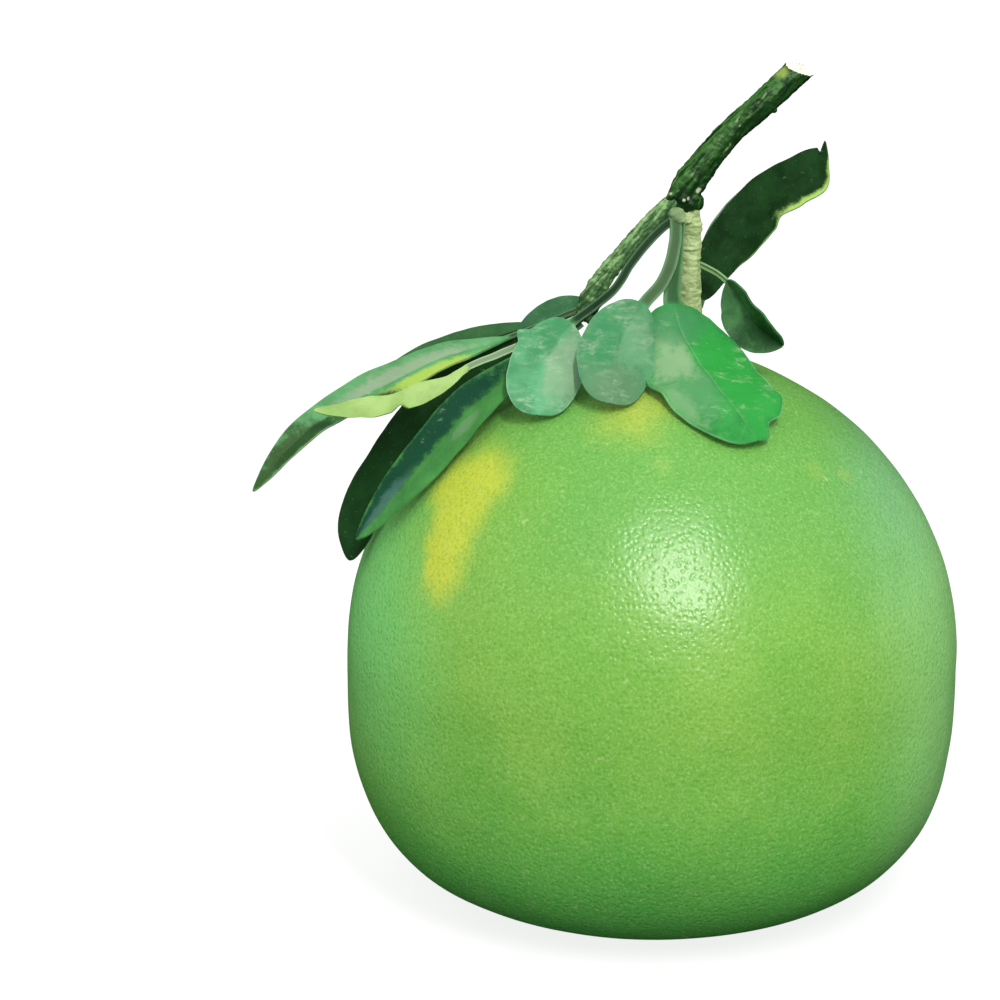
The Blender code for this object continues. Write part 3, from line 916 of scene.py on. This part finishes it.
long_leaf = leaf(
    "leaf_long",
    [(-19.5, -8.6, 157), (-35.5, -8, 150.2), (-45.5, -9, 147), (-54.5, -10, 144.5),
     (-64.5, -12, 140), (-77, -14, 134), (-90, -16, 125.5), (-102, -18, 112)],
    5.0, 0.20, (-0.1, -0.7, 0.7), tip_face=(-0.4, -0.8, 0.4), bluntness=0.65, fold=24,
    wobble=8, waves=1.5, ripple=0.03,
)
dress(long_leaf, "leaf_long", leaf_finish(
    "long_upper", (0.120, 0.390, 0.145), (0.075, 0.290, 0.095), (0.460, 0.600, 0.380),
    (0.050, 0.140, 0.045), dustiness=0.15, veins=9,
    patches=(
        (0.30, 0.75, 0.22, 0.45, (0.420, 0.600, 0.090), 0.85),
        (0.90, 0.0, 0.28, 1.2, (0.042, 0.110, 0.026), 0.95),
        (0.75, 0.5, 0.20, 0.60, (0.030, 0.090, 0.024), 0.9),
        (0.38, -0.3, 0.30, 0.45, (0.330, 0.440, 0.290), 0.75),
        # Painted shadow: the thin, very dark patch half way along lies in the fold.
        (0.50, 0.80, 0.12, 0.35, (0.012, 0.045, 0.014), 0.9),
    ),
    rim=(0.450, 0.580, 0.350),
), fresh_under)

pale_leaf = leaf(
    "leaf_pale",
    [(-20, -12.2, 155.5), (-39.5, -16.5, 147.2), (-47.5, -19, 144.4), (-52, -21.5, 141.6),
     (-58, -23, 139.2), (-64.5, -24, 137), (-77, -24, 134.9), (-86, -22, 134)],
    3.0, 0.44, (0.1, -0.7, 0.7), bluntness=0.55, fold=-10, petiole=0.9, wobble=14, waves=2.5,
    ripple=0.04,
    pulls=(((-64, -27, 133.5), (0, 0, 1.6), 2.5), ((-49, -21, 145), (1.6, 0, 0.9), 1.8)),
)
dress(pale_leaf, "leaf_pale", leaf_finish(
    "turned_leaf_underside", (0.370, 0.560, 0.175), (0.270, 0.460, 0.120), (0.460, 0.640, 0.270),
    (0.330, 0.520, 0.280), veins=8, roughness=0.6, vein_strength=0.25,
), dark_under)

behind_leaf = leaf(
    "leaf_behind",
    [(-18.5, -5.6, 155.5), (-34.5, 1.5, 149.4), (-52, 5, 144.5), (-68.5, 8, 138.5)],
    4.2, 0.2, (-0.2, -0.4, 0.85), bluntness=0.8, fold=15,
)
dress(behind_leaf, "leaf_behind", leaf_finish(
    "behind_upper", (0.040, 0.150, 0.045), (0.025, 0.100, 0.030), (0.130, 0.260, 0.120),
    (0.080, 0.200, 0.070), veins=7, rim=(0.200, 0.360, 0.180),
), dark_under)

low_leaf = leaf(
    "leaf_dark_low",
    [(-20, -9.2, 154), (-38, -9, 144), (-53.5, -9, 132), (-66.5, -9, 116.5), (-75, -10, 104),
     (-78, -12, 92)],
    9.4, 0.04, (-0.5, -0.75, 0.45), bluntness=0.55, fold=4,
)
# Painted shade: this leaf is painted almost black-green, for the shadow it lies in behind the long
# leaf.
dress(low_leaf, "leaf_dark_low", leaf_finish(
    "low_painted_shade_upper", (0.009, 0.055, 0.011), (0.007, 0.040, 0.008), (0.016, 0.070, 0.018),
    (0.040, 0.120, 0.040), veins=8, rim=(0.060, 0.140, 0.060), roughness=0.5, gloss=0.1,
), dark_under)

shoulder_leaf = leaf(
    "leaf_shoulder",
    [(-18.8, -12, 154), (-28.5, -14.5, 147), (-37, -16, 141), (-46.8, -18, 133),
     (-54, -20, 125.5), (-61.4, -22, 117), (-69.4, -23, 107.6), (-75.6, -24, 101)],
    6.8, 0.12, (-0.1, -0.85, 0.4), bluntness=0.6, fold=36, ripple=0.01,
)
dress(shoulder_leaf, "leaf_shoulder", leaf_finish(
    "shoulder_shade_sheen_upper", (0.080, 0.320, 0.075), (0.058, 0.240, 0.058), (0.160, 0.360, 0.170),
    (0.180, 0.340, 0.150), veins=9, gloss=0.2,
    patches=(
        # Painted shade on the half folded away, and a painted bluish sheen near the tip.
        (0.60, -0.62, 0.75, 0.50, (0.008, 0.070, 0.042), 0.95),
        (0.84, -0.35, 0.18, 0.28, (0.075, 0.200, 0.160), 0.75),
        (0.42, 0.45, 0.08, 0.22, (0.260, 0.380, 0.230), 0.4),
    ),
), dark_under)

# ---- The leaves on the right ----------------------------------------------------------------
# A stiff leaf that stands up behind the stalk, its blunt tip torn, painted very dark as painted
# shade and with painted light along its margins, and a small leaf that hangs folded from a thin
# petiole.

tall_leaf = leaf(
    "leaf_tall",
    [(11.6, 3.2, 155), (15.2, 7.5, 164.5), (20.6, 10, 172), (28.2, 12, 179.8), (36.5, 13, 186.5),
     (44, 15, 193.5)],
    7.2, 0.04, (0, -0.95, 0.3), tip_face=(-0.3, -0.9, 0.3), skew=1.1, bluntness=0.45, fold=8,
    ripple=0.02,
    pulls=(
        ((41.8, 14, 185), (2.0, 0, -1.6), 7), ((35.1, 13, 176), (-2.6, 0, 0.4), 5),
        ((45.5, 15, 193.4), (-0.4, 0, 2.6), 2.0), ((42.6, 15, 194.6), (-0.6, 0, -1.6), 1.4),
    ),
)
# Painted shade: the upper side is painted almost black-green. Painted light: the bright patches
# along both margins.
dress(tall_leaf, "leaf_tall", leaf_finish(
    "tall_painted_shade_upper", (0.013, 0.056, 0.013), (0.006, 0.030, 0.007), (0.020, 0.075, 0.022),
    (0.100, 0.220, 0.080), veins=8, roughness=0.5, vein_strength=0.0, gloss=0.04,
    patches=(
        (0.80, -0.98, 0.22, 0.30, (0.400, 0.620, 0.150), 0.95),
        (0.55, -1.02, 0.40, 0.10, (0.200, 0.400, 0.110), 0.8),
        (0.42, 1.00, 0.16, 0.12, (0.260, 0.400, 0.260), 0.7),
    ),
), dark_under)

hanging_leaf = leaf(
    "leaf_hanging",
    [(11.2, -0.4, 167), (17, -3, 164), (21.4, -6, 159), (25.5, -8, 152.5), (32, -9, 147.5)],
    7.2, 0.28, (-0.65, -0.7, 0.1), bluntness=0.6, fold=34, petiole=0.7,
)
dress(hanging_leaf, "leaf_hanging", leaf_finish(
    "hanging_shaded_upper", (0.058, 0.200, 0.062), (0.030, 0.120, 0.034), (0.160, 0.320, 0.130),
    (0.240, 0.430, 0.180), veins=6, dustiness=0.1, gloss=0.15,
    # Painted shade: the part towards the tip is painted very dark.
    patches=((0.78, 0.0, 0.36, 1.0, (0.008, 0.062, 0.012), 0.9),),
), fresh_under)

# ---- The studio -----------------------------------------------------------------------------
# A plain white floor under a soft even light that is weaker from below, and one tall narrow lamp
# above and a little to the right of the camera, which throws the short shadows under the leaves.

floor_glow = 0.83
light_below = 0.16
light_above = 0.85
lamp_lean = radians(47)
lamp_side = radians(11)
lamp_distance = 2.5
lamp_aim = Vector((0, 0, 0.08))
lamp_way = Vector((
    sin(lamp_lean) * sin(lamp_side),
    -sin(lamp_lean) * cos(lamp_side),
    cos(lamp_lean),
))
camera_tilt = radians(15)
camera_distance = 5.49 * fruit_width
aim_left = 0.248 * fruit_width
aim_up = 0.242 * fruit_width

bpy.ops.object.select_all(action="DESELECT")
bpy.ops.mesh.primitive_circle_add(vertices=96, radius=6, fill_type="NGON", location=(0, 0, 0))
floor = bpy.context.object
floor.name = "floor"
paper = Finish("white_paper", roughness=0.9, gloss=0.0)
paper.show("Base Color", (0.25, 0.255, 0.25))
paper.show("Emission Color", (1.0, 1.0, 1.0))
paper.show("Emission Strength", floor_glow)
floor.data.materials.append(paper.material)
floor.visible_diffuse = False
floor.visible_glossy = False

scene = bpy.context.scene
sky = bpy.data.worlds.new("studio")
scene.world = sky
sky.use_nodes = True
links = sky.node_tree.links
backdrop = sky.node_tree.nodes["Background"]
around = sky.node_tree.nodes.new("ShaderNodeTexCoord")
up_share = sky.node_tree.nodes.new("ShaderNodeSeparateXYZ")
glow = sky.node_tree.nodes.new("ShaderNodeMapRange")
links.new(around.outputs["Generated"], up_share.inputs[0])
links.new(up_share.outputs["Z"], glow.inputs["Value"])
links.new(glow.outputs[0], backdrop.inputs["Strength"])
glow.inputs["From Min"].default_value = -0.55
glow.inputs["From Max"].default_value = -0.02
glow.inputs["To Min"].default_value = light_below
glow.inputs["To Max"].default_value = light_above
backdrop.inputs["Color"].default_value = (1.0, 1.0, 1.0, 1.0)
sky.cycles_visibility.glossy = False

bpy.ops.object.light_add(
    type="AREA", location=lamp_aim + lamp_way * lamp_distance, rotation=(lamp_lean, 0, lamp_side)
)
lamp = bpy.context.object
lamp.data.shape = "RECTANGLE"
lamp.data.size = 0.12
lamp.data.size_y = 1.0
lamp.data.energy = 38
lamp.data.color = (1.0, 0.99, 0.96)

looking = Vector((0, cos(camera_tilt), -sin(camera_tilt)))
camera_up = Vector((0, sin(camera_tilt), cos(camera_tilt)))
camera_right = Vector((1, 0, 0))
target = Vector((0, 0, widest_level)) - camera_right * aim_left
target += camera_up * aim_up
bpy.ops.object.camera_add()
camera = bpy.context.object
camera.data.lens = 120
camera.data.sensor_width = 36
turned = Matrix((camera_right, camera_up, -looking)).transposed().to_4x4()
camera.matrix_world = Matrix.Translation(target - looking * camera_distance) @ turned
scene.camera = camera
scene.view_settings.view_transform = "Standard"
